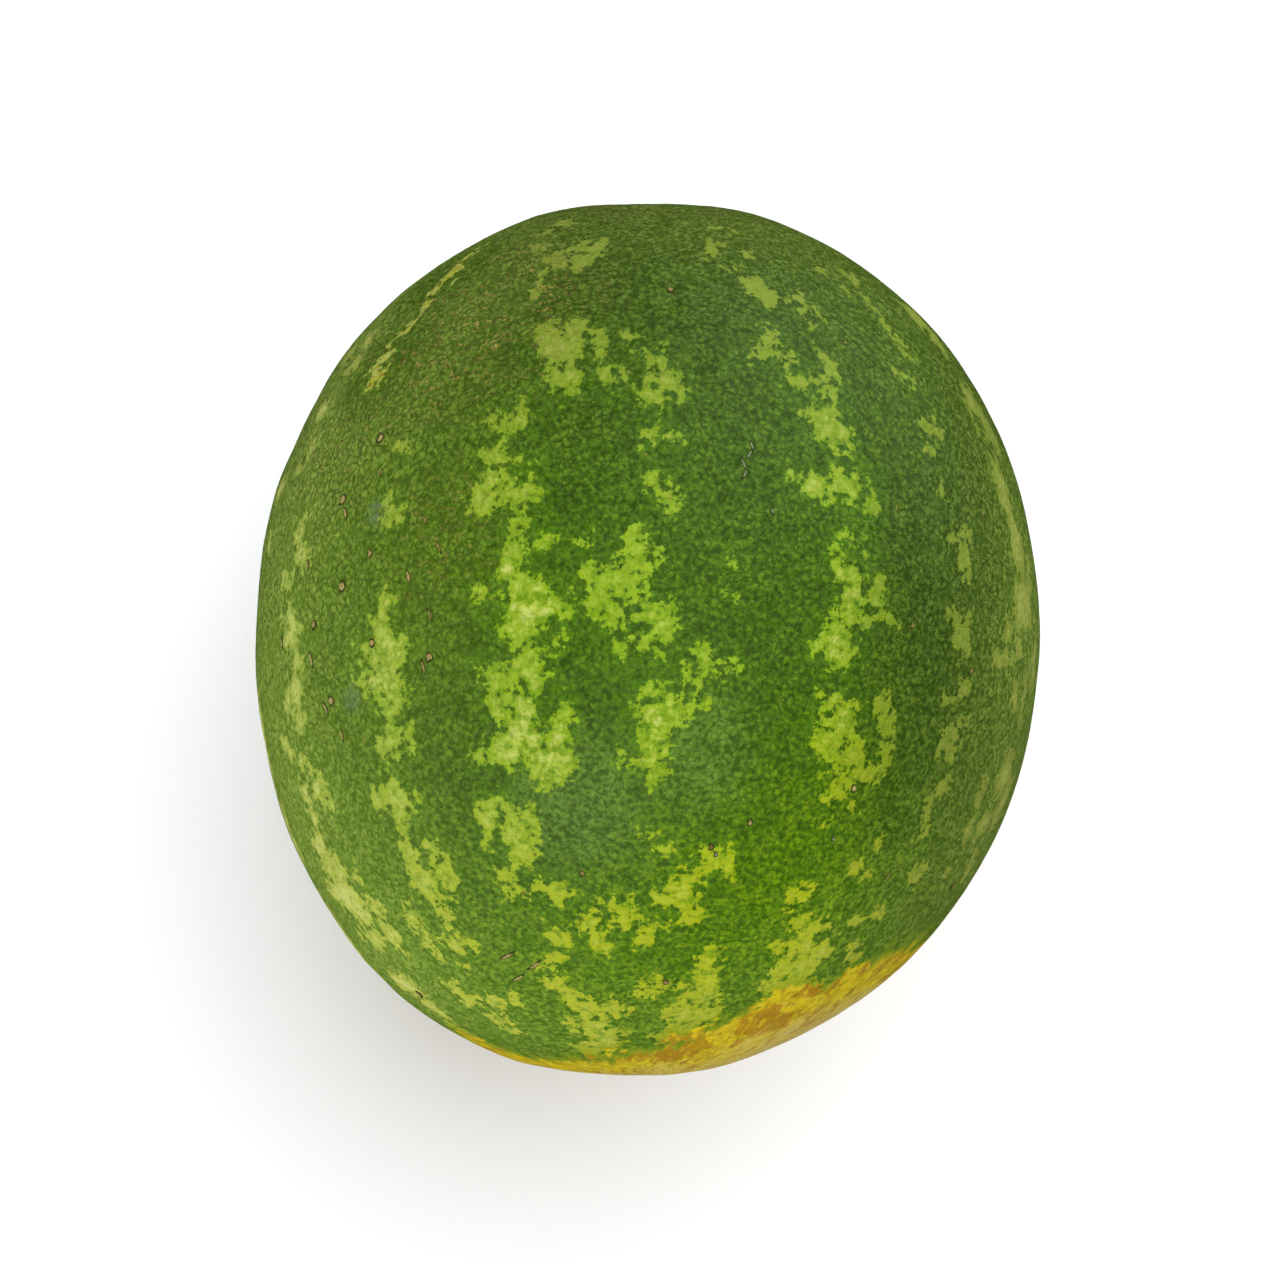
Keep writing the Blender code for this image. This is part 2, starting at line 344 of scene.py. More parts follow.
def store(mesh, name, values):
    """Keeps a value for each vertex, for the material to read."""
    layer = mesh.attributes.new(name, "FLOAT", "POINT")
    layer.data.foreach_set("value", np.ascontiguousarray(values, dtype=np.float32))


degrees_round, degrees_along = skin_places(rind.data)
chance = random.Random(HIDDEN_SEED)
ovals = (
    STRIPE_MID_LEFT + STRIPE_MIDDLE + STRIPE_MID_RIGHT + STRIPE_RIGHT
    + STRIPE_FAR_RIGHT + STRIPE_LEFT + STRIPE_FAR_LEFT + STRIPE_LEFT_EDGE
)
for stripe in HIDDEN_STRIPES:
    ovals = ovals + grown_stripe(stripe, chance)
patch_depth = depth_inside(ovals, degrees_round, degrees_along, PATCH_BLEND)
gap_depth = depth_inside(GAPS, degrees_round, degrees_along, GAP_BLEND)
store(rind.data, "patch", np.minimum(patch_depth, -gap_depth))

# The ground spot: the side that lay on the soil never turned green. Its middle is low down
# towards the stem end, and only a strip of its rim shows from above.
GROUND_ROUND = 150
GROUND_ALONG = -59
GROUND_REACH = 53  # degrees from its middle to its rim
# Where its rim bulges or draws back: (mm, degrees round, degrees along, reach).
GROUND_LOBES = ((9.0, 38, -57, 14), (-5.0, -24, -64, 16), (-16.0, 88, -34, 26))
RUST_PLACES = ((1.0, 37, -57, 10), (1.0, 13, -65, 11))


def directions(degrees_round, degrees_along):
    """The unit directions, from the fruit's heart, of places on it."""
    turn = np.radians(degrees_round)
    rise = np.radians(degrees_along)
    return np.stack(
        [np.cos(rise) * np.sin(turn), np.sin(rise), np.cos(rise) * np.cos(turn)], axis=-1
    )


skin_directions = directions(degrees_round, degrees_along)
ground_middle = directions(GROUND_ROUND, GROUND_ALONG)
ground_angle = np.degrees(np.arccos(np.clip(skin_directions @ ground_middle, -1.0, 1.0)))


def soft_step(values, start, end):
    share = np.clip((values - start) / (end - start), 0.0, 1.0)
    return share * share * (3.0 - 2.0 * share)


def spot(round_at, along_at, reach):
    """1 at a place, falling to 0 at reach degrees from it."""
    away = np.degrees(np.arccos(np.clip(skin_directions @ directions(round_at, along_at), -1, 1)))
    return 1.0 - soft_step(away, 0.25 * reach, reach)


def strongest(places):
    """The strongest of some spots: (strength, degrees round, degrees along, reach)."""
    return np.maximum.reduce([strength * spot(*place) for strength, *place in places])


ground_depth = (GROUND_REACH - ground_angle) * MM_PER_DEGREE
for lift, *place in GROUND_LOBES:
    ground_depth += lift * spot(*place)
store(rind.data, "ground", ground_depth)
store(rind.data, "rusty", strongest(RUST_PLACES))

# A place's distance round and along the fruit, wrapped onto a cylinder, so that a texture can be
# drawn out along the veins.
turn = np.radians(degrees_round)
grain = np.stack(
    [
        half_size.x * np.sin(turn),
        np.radians(degrees_along) * half_size.y,
        half_size.x * np.cos(turn),
    ],
    axis=-1,
)
grain_layer = rind.data.attributes.new("grain", "FLOAT_VECTOR", "POINT")
grain_layer.data.foreach_set("vector", grain.astype(np.float32).ravel())


# Corky weathering: fine brown cracks where the skin was rubbed or scorched, mostly on one shoulder,
# and round both ends.
WEATHERED_PLACES = (
    (1.0, -38, 45, 26), (0.7, -60, 30, 26), (0.45, -30, 12, 16), (0.5, 120, 40, 30),
)
weather = np.maximum.reduce([
    strongest(WEATHERED_PLACES),
    0.8 * soft_step(degrees_along, 52, 80),
    0.7 * soft_step(-degrees_along, 60, 82),
])
store(rind.data, "weather", weather)

# One streak high on the -X side has stayed yellow.
YELLOW_STREAK = ((1.0, -55, 36, 13), (1.0, -58, 52, 15))
yellow_streak = strongest(YELLOW_STREAK)
store(rind.data, "yellow_streak", yellow_streak)

# The green is duller and browner round the blossom end and on the +X side: partly where the sun reached it,
# and partly painted shade on the side that the key light falls on.
sideways = skin_directions[:, 0]
sunned = np.maximum.reduce([
    soft_step(degrees_along, 2, 62),
    0.9 * soft_step(sideways, 0.35, 0.75) * soft_step(degrees_along, -60, -10),
    0.6 * soft_step(-degrees_along, 60, 85),
])
store(rind.data, "sunned", sunned * (1.0 - 0.8 * yellow_streak))

# Two painted sheens on top: soft spots where the green is painted paler, as a shine on the wax.
PAINTED_SHEEN_PLACES = ((1.0, -9, -20, 13), (0.9, 8, -13.5, 11))
store(rind.data, "painted_sheen_spots", strongest(PAINTED_SHEEN_PLACES))

# Painted sheen and painted light: the flanks are painted paler and greyer down towards the ground, as the
# pale room's shine on the wax there, and paler still on the -X side, as light from that side; least towards
# the blossom end.
from_top = np.degrees(np.arccos(np.clip(skin_directions[:, 2], -1.0, 1.0)))
left_flank = soft_step(-sideways, 0.15, 0.8)
shaded_end = soft_step(degrees_along, 0, 40) * (1.0 - left_flank)
flank_share = (0.8 + 0.2 * left_flank) * (1.0 - 0.6 * shaded_end)
paled = flank_share * soft_step(from_top, 36, 88) + 0.34 * left_flank
store(rind.data, "paled", np.clip(paled * (1.0 - 0.7 * yellow_streak), 0.0, 1.0))

# The net of dark veins is plainest towards the blossom end and on top, on the +X side.
net = 0.55 + 0.45 * soft_step(degrees_along, -25, 30) + 0.35 * spot(32, 5, 40)
store(rind.data, "net", np.clip(net, 0.0, 1.0))

# Grey-green smudges of wax and dust.
SMUDGES = ((1.0, -42.8, 14.8, 2.4), (1.0, -45.5, -8.5, 2.6), (1.0, 118, 8, 4), (1.0, 196, 30, 5))
store(rind.data, "smudge", strongest(SMUDGES))

# ---------------------------------------------------------------------------------------------
# The rind's finish: a waxy green skin. Colours are as the eye sees them, in 0-255 steps.
GREEN_DARK = (40, 64, 2)
GREEN_MID = (54, 86, 2)
GREEN_LIGHT = (78, 110, 9)
GREEN_FRESH = (68, 108, 0)  # beside the patches and near the ground spot
LIVELY_DARK = (56, 92, 0)
LIVELY_MID = (78, 118, 0)
LIVELY_LIGHT = (112, 144, 0)
# Partly sun-dulled skin, partly painted shade on the key-lit side.
SUN_DULLED_AND_SHADED_DARK = (32, 48, 8)
SUN_DULLED_AND_SHADED_LIGHT = (68, 88, 28)
NET_LINE = (34, 56, 2)
PATCH_EDGE = (92, 126, 2)
PATCH = (120, 148, 12)
PATCH_CORE = (144, 164, 44)
PATCH_PALE = (164, 174, 84)
# The same on the patches: partly sun-dulled, partly painted shade.
PATCH_SUN_DULLED_AND_SHADED = (98, 112, 32)
PATCH_YELLOWED = (164, 172, 0)
# Painted sheen and light, for the green and for the patches on the flanks and the -X side.
FLANK_SHEEN_DARK = (100, 130, 36)
FLANK_SHEEN_LIGHT = (138, 162, 64)
PATCH_FLANK_SHEEN = (190, 196, 104)
PATCH_LIME = (112, 142, 0)
SHEEN_SPOT_DARK = (50, 80, 6)  # painted sheen: the green painted paler where the wax shines
SHEEN_SPOT_LIGHT = (88, 122, 36)
CORK = (136, 122, 52)
CORK_DARK = (66, 58, 22)
CORK_STAIN = (92, 90, 34)
WAX = (92, 108, 78)
GROUND_YELLOW = (208, 186, 4)
GROUND_OLIVE = (174, 156, 0)
GROUND_TAN = (196, 174, 82)
GROUND_CREAM = (206, 188, 112)
GROUND_BROWN = (150, 98, 4)
GROUND_GHOST = (190, 186, 66)
GROUND_LIME = (136, 150, 0)

# Sizes of the skin's lumps, cells and cracks, from the finest to the widest.
PORE_SIZE = 1.1 * MM
CORK_GRAIN_SIZE = 1.3 * MM
PEBBLE_SIZE = 1.5 * MM
WAX_GRAIN_SIZE = 1.6 * MM
EDGE_CELL_SIZE = 1.7 * MM
FLECK_SIZE = 1.8 * MM
NET_CELL_SIZE = 2.5 * MM
WAVER_SIZE = 2.8 * MM
MOTTLE_FINE_SIZE = 3 * MM
CRACK_SIZE = 3.2 * MM
LUMP_SIZE = 5 * MM
SPECK_SPACING = 6 * MM
FRAY_SIZE = 7 * MM
MOTTLE_MID_SIZE = 8 * MM
CRACK_GROUP_SIZE = 12 * MM
BLOTCH_SIZE = 16 * MM
MOTTLE_WIDE_SIZE = 45 * MM
WAVER_REACH = 2.6 * MM  # how far it moves a cell's edge
# How far, in mm, lumps and whole cells push a patch's edge in or out.
FRAY_DEPTH = 13.0
FRAY_FINE_DEPTH = 9.0
EDGE_CELL_DEPTH = 1.9
BLOTCH_DEPTH = 30.0  # the same for the ground spot's rim
FINGER_DEPTH = 9.0  # how much further its rim reaches along a patch
# A pattern is drawn out along the veins, or squeezed into short cracks across them.
ALONG_THE_VEINS = (1.0, 0.7, 1.0)
ACROSS_THE_VEINS = (1.0, 2.2, 1.0)
# Heights of the relief, in mm.
PEBBLE_RISE = 0.34
LUMP_RISE = 0.5
CELL_RISE = 0.12
CRACK_RISE = 0.10
SPECK_RISE = 0.12
WAX_GLOSS = (0.34, 0.46)  # roughness, from where the wax is whole to where it is thin
CORK_DULLNESS = 0.25
SKIN_IOR = 1.46
SKIN_SPECULAR = 0.25


def linear(colour):
    """A colour in 0-255 steps as the eye sees it, as the shader's linear red, green, blue, alpha."""
    parts = []
    for step in colour:
        share = step / 255.0
        parts.append(share / 12.92 if share <= 0.04045 else ((share + 0.055) / 1.055) ** 2.4)
    return (*parts, 1.0)


class Wiring:
    """A node tree, with short ways to add nodes whose inputs are values or other nodes' outputs."""

    def __init__(self, tree):
        self.tree = tree

    def put(self, kind, inputs=(), **settings):
        made = self.tree.nodes.new(kind)
        for name, value in settings.items():
            setattr(made, name, value)
        for name, value in dict(inputs).items():
            socket = made.inputs[name]
            if isinstance(value, bpy.types.NodeSocket):
                self.tree.links.new(value, socket)
            else:
                socket.default_value = value
        return made

    def maths(self, operation, first, second=0.0):
        return self.put("ShaderNodeMath", {0: first, 1: second}, operation=operation).outputs[0]

    def times(self, first, second):
        return self.maths("MULTIPLY", first, second)

    def plus(self, first, second):
        return self.maths("ADD", first, second)

    def swing(self, value, reach, middle=0.5):
        """A 0 to 1 noise, turned into a push of up to about half of reach either way."""
        return self.times(self.maths("SUBTRACT", value, middle), reach)

    def attribute(self, name, output="Fac"):
        return self.put("ShaderNodeAttribute", attribute_name=name).outputs[output]

    def ramp(self, value, start, end, low=0.0, high=1.0):
        """A smooth step of a value from start to end."""
        made = self.put(
            "ShaderNodeMapRange",
            {"Value": value, "From Min": start, "From Max": end, "To Min": low, "To Max": high},
            interpolation_type="SMOOTHSTEP",
        )
        return made.outputs["Result"]

    def mix(self, share, first, second):
        made = self.put("ShaderNodeMix", data_type="RGBA")
        for index, value in ((0, share), (6, first), (7, second)):
            if isinstance(value, bpy.types.NodeSocket):
                self.tree.links.new(value, made.inputs[index])
            elif index == 0:
                made.inputs[index].default_value = value
            else:
                made.inputs[index].default_value = linear(value)
        return made.outputs[2]

    def grit(self, place, size, detail=3.0, roughness=0.55):
        """Noise whose coarsest lumps are about size across, from about 0 to 1."""
        made = self.put(
            "ShaderNodeTexNoise",
            {"Vector": place, "Scale": 1.0 / size, "Detail": detail, "Roughness": roughness},
        )
        return made.outputs["Fac"]

    def cells(self, place, size, feature="F1"):
        """Cells about size across."""
        return self.put("ShaderNodeTexVoronoi", {"Vector": place, "Scale": 1.0 / size}, feature=feature)

    def parts(self, colour):
        """The three parts of a colour, which a cell texture draws at random for each cell."""
        return self.put("ShaderNodeSeparateColor", {0: colour}).outputs

    def stretched(self, place, factors):
        return self.put("ShaderNodeMapping", {"Vector": place, "Scale": factors}).outputs[0]


def skin_texture(w):
    """What the parts of the skin share: places on it, its mottling (partly painted shade in the hollows of
    its pebbles) and its stored values.
    """
    t = SimpleNamespace()
    t.here = w.put("ShaderNodeTexCoord").outputs["Object"]
    t.grain = w.attribute("grain", "Vector")
    t.drawn_out = w.stretched(t.grain, ALONG_THE_VEINS)

    # A little waver, so that no cell or line is quite straight.
    waver = w.put("ShaderNodeTexNoise", {"Vector": t.here, "Scale": 1 / WAVER_SIZE, "Detail": 3.0})
    waver = w.put(
        "ShaderNodeVectorMath", {0: waver.outputs["Color"], 1: (0.5, 0.5, 0.5)}, operation="SUBTRACT"
    )
    waver = w.put("ShaderNodeVectorMath", {0: waver.outputs[0], "Scale": WAVER_REACH}, operation="SCALE")
    waver = w.put("ShaderNodeVectorMath", {0: t.here, 1: waver.outputs[0]}, operation="ADD")
    t.wavering = waver.outputs[0]

    t.pebbles = w.grit(t.here, PEBBLE_SIZE, 3.0, 0.6)
    t.mottle_fine = w.grit(t.here, MOTTLE_FINE_SIZE, 3.0, 0.6)
    t.mottle_mid = w.grit(t.drawn_out, MOTTLE_MID_SIZE, 4.0, 0.6)
    t.mottle_wide = w.grit(t.here, MOTTLE_WIDE_SIZE, 2.0, 0.5)
    # Partly the skin's own mottling, partly painted shade: the pebbles that raise the relief also set half
    # of it, so the green is painted darker in their hollows and lighter on their tops.
    tone = w.plus(w.times(t.pebbles, 0.5), w.times(t.mottle_fine, 0.25))
    t.tone = w.plus(tone, w.times(t.mottle_mid, 0.25))

    t.ground = w.attribute("ground")
    t.near_ground = w.ramp(t.ground, -125.0, -25.0)
    # Partly sun dulling, partly painted shade on the key-lit side.
    t.sunned = w.attribute("sunned")
    # Painted sheen and light on the flanks, less over the ground spot.
    t.paled = w.times(w.attribute("paled"), w.ramp(t.ground, 10.0, -30.0, 0.4, 0.95))
    return t


def fray_patches(w, t):
    """The patches' frayed edges: mm inside the patch, pushed in and out by noise and whole cells."""
    cell = w.parts(w.cells(t.wavering, EDGE_CELL_SIZE).outputs["Color"])[0]
    depth = w.plus(w.attribute("patch"), w.swing(w.grit(t.drawn_out, FRAY_SIZE, 6.0, 0.66), FRAY_DEPTH))
    depth = w.plus(depth, w.swing(cell, EDGE_CELL_DEPTH))
    fine = w.grit(t.here, MOTTLE_FINE_SIZE, 3.0, 0.6)
    t.depth = w.plus(depth, w.swing(fine, FRAY_FINE_DEPTH, 0.51))
    t.in_patch = w.ramp(t.depth, -0.5, 0.55)
    t.in_core = w.ramp(t.depth, 0.8, 5.0)
    t.in_halo = w.ramp(t.depth, -5.5, -0.3)


def weave_net(w, t):
    """The net of dark veins between raised cells of skin."""
    t.net_edge = w.cells(t.wavering, NET_CELL_SIZE, "DISTANCE_TO_EDGE").outputs["Distance"]
    net = w.times(w.attribute("net"), w.ramp(t.mottle_mid, 0.35, 0.6, 0.3, 1.0))
    t.net = w.times(net, w.ramp(t.net_edge, 0.15, 0.04))


def green_skin(w, t):
    """The mottled green, its dark steps partly painted shade in the pebbles' hollows: fresher beside the
    patches, livelier near the ground spot, duller where sun-dulled and painted shaded, and paler with
    painted sheen in two spots on top and on the flanks."""
    # The dark to light steps carry painted shade in the pebbles' hollows as well as mottling.
    to_mid = w.ramp(t.tone, 0.40, 0.49)
    to_light = w.ramp(t.tone, 0.49, 0.60)
    green = w.mix(to_light, w.mix(to_mid, GREEN_DARK, GREEN_MID), GREEN_LIGHT)
    fresh = w.times(t.in_halo, w.ramp(t.mottle_wide, 0.35, 0.6, 0.35, 0.85))
    fresh = w.times(fresh, w.ramp(t.mottle_fine, 0.35, 0.6, 0.5, 1.0))
    green = w.mix(fresh, green, GREEN_FRESH)
    lively = w.mix(to_light, w.mix(to_mid, LIVELY_DARK, LIVELY_MID), LIVELY_LIGHT)
    green = w.mix(t.near_ground, green, lively)
    # Partly sun-dulled green, partly painted shade on the key-lit side.
    sunned = w.mix(w.ramp(t.tone, 0.41, 0.60), SUN_DULLED_AND_SHADED_DARK, SUN_DULLED_AND_SHADED_LIGHT)
    green = w.mix(w.times(t.sunned, 0.85), green, sunned)
    # Painted sheen: paler green in two soft spots on top.
    painted_sheen_spots = w.mix(w.ramp(t.tone, 0.4, 0.58), SHEEN_SPOT_DARK, SHEEN_SPOT_LIGHT)
    green = w.mix(w.times(w.attribute("painted_sheen_spots"), 0.9), green, painted_sheen_spots)
    # Painted sheen and light: paler, greyer green on the flanks and the -X side.
    paled = w.mix(w.ramp(t.tone, 0.42, 0.6), FLANK_SHEEN_DARK, FLANK_SHEEN_LIGHT)
    green = w.mix(t.paled, green, paled)
    return w.mix(w.times(t.net, 0.62), green, NET_LINE)


def pale_patches(w, t):
    """The patches: vivid at the edge, paler inside, with green flecks all through."""
    pale = w.mix(w.ramp(t.mottle_fine, 0.36, 0.6), PATCH_EDGE, PATCH)
    core = w.mix(w.ramp(t.mottle_fine, 0.42, 0.62), PATCH_CORE, PATCH_PALE)
    pale = w.mix(w.times(t.in_core, w.ramp(t.mottle_wide, 0.40, 0.56, 0.25, 1.0)), pale, core)
    yellowed = w.mix(w.ramp(t.mottle_fine, 0.34, 0.54), PATCH_LIME, PATCH_YELLOWED)
    pale = w.mix(w.times(t.near_ground, 0.85), pale, yellowed)
    # Patches duller: partly sun dulling, partly painted shade on the key-lit side.
    pale = w.mix(w.times(t.sunned, 0.9), pale, PATCH_SUN_DULLED_AND_SHADED)
    # Painted sheen and light on the patches, towards the flanks.
    pale = w.mix(w.times(t.paled, w.ramp(t.in_core, 0.0, 1.0, 0.45, 0.95)), pale, PATCH_FLANK_SHEEN)
    # Again partly sun dulling and partly painted shade.
    pale = w.mix(w.times(t.sunned, 0.4), pale, PATCH_SUN_DULLED_AND_SHADED)
    fleck = w.ramp(w.grit(t.here, FLECK_SIZE, 3.0, 0.65), 0.56, 0.66)
    pale = w.mix(w.times(fleck, 0.45), pale, GREEN_FRESH)
    pale = w.mix(w.times(t.net, 0.22), pale, GREEN_FRESH)
    streak = w.mix(w.ramp(t.mottle_fine, 0.36, 0.6), GROUND_OLIVE, PATCH_PALE)
    return w.mix(w.times(w.attribute("yellow_streak"), 0.6), pale, streak)


def add_ground_spot(w, t, skin):
    """The ground spot: yellow at its rim, then tan and cream towards its middle, with rusty streaks
    and the ghosts of the stripes. Yellow fingers reach out along the patches."""
    ground = w.plus(t.ground, w.swing(w.grit(t.drawn_out, BLOTCH_SIZE, 5.0, 0.62), BLOTCH_DEPTH))
    ground = w.plus(ground, w.times(w.ramp(t.depth, -3.0, 2.0), FINGER_DEPTH))
    rim = w.mix(w.ramp(t.mottle_fine, 0.36, 0.62), GROUND_OLIVE, GROUND_YELLOW)
    streaks = w.grit(t.drawn_out, LUMP_SIZE, 4.0, 0.6)
    middle = w.mix(w.ramp(streaks, 0.3, 0.7), GROUND_TAN, GROUND_CREAM)
    middle = w.mix(w.times(w.ramp(t.mottle_wide, 0.4, 0.6), 0.35), middle, GROUND_YELLOW)
    ghost = w.times(w.ramp(t.depth, -6.0, 4.0), w.ramp(ground, 90.0, 10.0, 0.0, 0.4))
    middle = w.mix(ghost, middle, GROUND_GHOST)
    spot_colour = w.mix(w.ramp(ground, 8.0, 34.0), rim, middle)
    rust = w.ramp(w.grit(t.drawn_out, FRAY_SIZE, 5.0, 0.68), 0.52, 0.60)
    rust_places = w.times(w.attribute("rusty"), w.grit(t.drawn_out, LUMP_SIZE, 4.0, 0.65))
    rust = w.maths("MAXIMUM", rust, w.ramp(rust_places, 0.36, 0.46))
    rust = w.times(rust, w.ramp(ground, 44.0, 12.0))
    spot_colour = w.mix(w.times(rust, 0.7), spot_colour, GROUND_BROWN)
    pores = w.ramp(w.grit(t.here, PORE_SIZE, 2.0, 0.5), 0.62, 0.70)
    spot_colour = w.mix(w.times(pores, 0.3), spot_colour, GROUND_OLIVE)
    skin = w.mix(w.ramp(ground, -7.0, 0.0, 0.0, 0.75), skin, GROUND_LIME)
    return w.mix(w.ramp(ground, -1.5, 2.5), skin, spot_colour)


def add_cork(w, t, skin):
    """Corky weathering: short brown cracks across the veins, in loose groups."""
    cracks = w.grit(w.stretched(t.grain, ACROSS_THE_VEINS), CRACK_SIZE, 3.0, 0.65)
    groups = w.ramp(w.grit(t.here, CRACK_GROUP_SIZE, 3.0, 0.6), 0.34, 0.52)
    weather = w.attribute("weather")
    t.cracks = w.times(w.times(w.ramp(cracks, 0.55, 0.60), groups), weather)
    cork_tone = w.mix(w.ramp(w.grit(t.here, CORK_GRAIN_SIZE, 2.0), 0.45, 0.56), CORK_DARK, CORK)
    skin = w.mix(w.times(weather, 0.06), skin, CORK_STAIN)
    return w.mix(w.times(t.cracks, 0.85), skin, cork_tone)


def add_specks(w, t, skin):
    """Specks: single corky pores, tan or dark, scattered everywhere."""
    speck = w.cells(t.wavering, SPECK_SPACING)
    sort = w.parts(speck.outputs["Color"])
    chosen = w.maths("GREATER_THAN", sort[1], 0.62)
    t.specks = w.times(w.ramp(speck.outputs["Distance"], 0.10, 0.05), chosen)
    return w.mix(w.times(t.specks, 0.6), skin, w.mix(w.ramp(sort[0], 0.45, 0.55), CORK_DARK, CORK))


def add_wax(w, t, skin):
    """Smudges of wax."""
    smudge = w.ramp(w.grit(t.here, WAX_GRAIN_SIZE, 3.0), 0.35, 0.6)
    return w.mix(w.times(w.times(w.attribute("smudge"), smudge), 0.7), skin, WAX)


def skin_relief(w, t):
    """The relief, in mm: pebbly skin, a sunken net, raised cracks and specks."""
    lumps = w.grit(t.here, LUMP_SIZE, 3.0, 0.5)
    relief = w.plus(w.times(t.pebbles, PEBBLE_RISE), w.times(lumps, LUMP_RISE))
    cells = w.times(w.ramp(t.net_edge, 0.0, 0.3), w.attribute("net"))
    relief = w.plus(relief, w.times(cells, CELL_RISE))
    relief = w.plus(relief, w.times(t.cracks, CRACK_RISE))
    return w.plus(relief, w.times(t.specks, SPECK_RISE))


def rind_material():
    material = bpy.data.materials.new("waxy_rind")
    material.use_nodes = True
    w = Wiring(material.node_tree)
    shader = material.node_tree.nodes["Principled BSDF"]
    t = skin_texture(w)
    fray_patches(w, t)
    weave_net(w, t)
    skin = w.mix(t.in_patch, green_skin(w, t), pale_patches(w, t))
    for add in (add_ground_spot, add_cork, add_specks, add_wax):
        skin = add(w, t, skin)
    w.tree.links.new(skin, shader.inputs["Base Color"])

    # The wax's gloss is uneven, and cork is dull.
    gloss = w.ramp(w.grit(t.here, LUMP_SIZE, 4.0, 0.6), 0.3, 0.7, *WAX_GLOSS)
    gloss = w.plus(gloss, w.times(t.cracks, CORK_DULLNESS))
    w.tree.links.new(gloss, shader.inputs["Roughness"])
    shader.inputs["IOR"].default_value = SKIN_IOR
    shader.inputs["Specular IOR Level"].default_value = SKIN_SPECULAR
    bump = w.put("ShaderNodeBump", {"Height": skin_relief(w, t), "Strength": 1.0, "Distance": MM})
    w.tree.links.new(bump.outputs["Normal"], shader.inputs["Normal"])
    return material


rind.data.materials.clear()
rind.data.materials.append(rind_material())

# ---------------------------------------------------------------------------------------------
# The marks on the rind: rubs and pricks that healed over with cork. Each is a thin, ragged pad of
# cork, tan with a dark edge, grown into the skin.
# (degrees round, degrees along, length and width in mm, turn from the veins in degrees, paleness)
HEALED_SCRATCHES = (
    (-35, 6.8, 5.0, 1.1, 25, 0.9), (-54.5, -4, 5.5, 1.2, 20, 1.0), (-51.5, -10, 4.5, 1.1, 30, 0.9),
    (-32, -4.3, 5.0, 1.0, 15, 0.6), (-20, -45, 6.0, 1.1, -50, 1.0), (-25, -43.5, 6.5, 1.2, -60, 0.9),
    (-24.5, -47.5, 6.0, 1.1, -55, 1.0), (-49.5, 14.7, 5.0, 1.2, 35, 0.8), (-48.3, -13.3, 4.0, 1.0, 10, 0.9),
    (-33.5, 14, 4.0, 0.7, 40, 0.5), (-30.5, 10.5, 4.5, 0.7, 35, 0.5), (-31, 2.2, 4.0, 0.7, 30, 0.5),
    (-44, 20, 3.5, 0.8, 45, 0.6), (-57, 8, 4.0, 1.0, 15, 0.8), (-64, -2, 4.5, 1.1, 10, 0.8),
    (44, -30, 3.5, 0.8, -20, 0.6), (57, 18, 4.0, 0.8, 10, 0.5), (140, 12, 5.0, 1.1, 40, 0.8),
    (134, -8, 6.0, 1.2, -30, 0.9), (-112, 18, 5.0, 1.0, 20, 0.8), (-128, -16, 5.5, 1.1, -25, 0.9),
)
HEALED_PRICKS = (
    (-46, 24.7, 3.2, 2.8, 0, 0.9), (-47.7, 5.4, 3.4, 3.0, 0, 0.9), (-51, 16.5, 3.6, 3.2, 0, 0.8),
    (-50, -9, 3.0, 2.6, 0, 0.9), (-31, -3, 3.0, 2.6, 0, 0.7), (-41, -1.5, 2.6, 2.4, 0, 0.7),
    (-54, 0.5, 2.8, 2.4, 0, 0.8), (-42.5, 9.5, 2.6, 2.2, 0, 0.6), (16, -22.5, 2.0, 1.8, 0, 0.8),
    (10.5, -25.8, 2.2, 1.8, 0, 0.1), (31.8, -17.8, 2.4, 2.0, 0, 0.9), (68.5, -32.5, 3.0, 2.2, 0, 0.4),
    (-59, -52.5, 3.4, 2.4, 0, 0.4), (6, -47.8, 2.4, 1.8, 30, 0.5), (52, -2.5, 2.2, 1.8, 0, 0.5),
    (39, 3, 2.0, 1.6, 0, 0.4), (-9, -30, 2.0, 1.6, 0, 0.4), (2, 49, 2.4, 2.0, 0, 0.4),
    (136, 26, 3.2, 2.8, 0, 0.8), (126, -12, 3.0, 2.6, 0, 0.8), (-130, 6, 3.4, 3.0, 0, 0.9),
    (-124, 22, 3.0, 2.6, 0, 0.8), (-112, -12, 3.2, 2.8, 0, 0.7), (118, -6, 3.0, 2.4, 0, 0.7),
)
WAX_SPOTS = (
    (14.4, 25.0, 3.4, 0.9, 20, 2.0), (13.9, 23.7, 3.6, 0.9, -35, 2.0), (13.0, 22.5, 3.4, 0.9, 25, 2.0),
    (13.1, 21.1, 3.0, 0.9, -25, 2.0),
    (17, 16.5, 2.0, 0.9, 30, 1.9), (11.3, -26.8, 1.8, 1.2, 0, 2.0), (30.3, -24.7, 1.6, 1.2, 0, 2.0),
)
PAD_HEIGHT = 0.35 * MM
PAD_SEGMENTS = 20
PAD_RINGS = 10
PAD_RAGGEDNESS = 0.35
PAD_RAGGED_SCALE = 1.6
PAD_BEND = 0.25  # how far its ends curl, in shares of its width
AIM_FROM = 1.3  # an aim at the rind starts this many times the fruit's half size from its heart
MARK_BROWN = (92, 68, 28)
MARK_TAN = (158, 144, 88)
MARK_WAX = (104, 118, 90)
MARK_PITS = (84, 70, 32)
MARK_RIM = (46, 50, 14)
MARK_GRAIN_SIZE = 0.6 * MM
MARK_RELIEF = 0.3 * MM
MARK_ROUGHNESS = 0.85
MARK_SPECULAR = 0.2


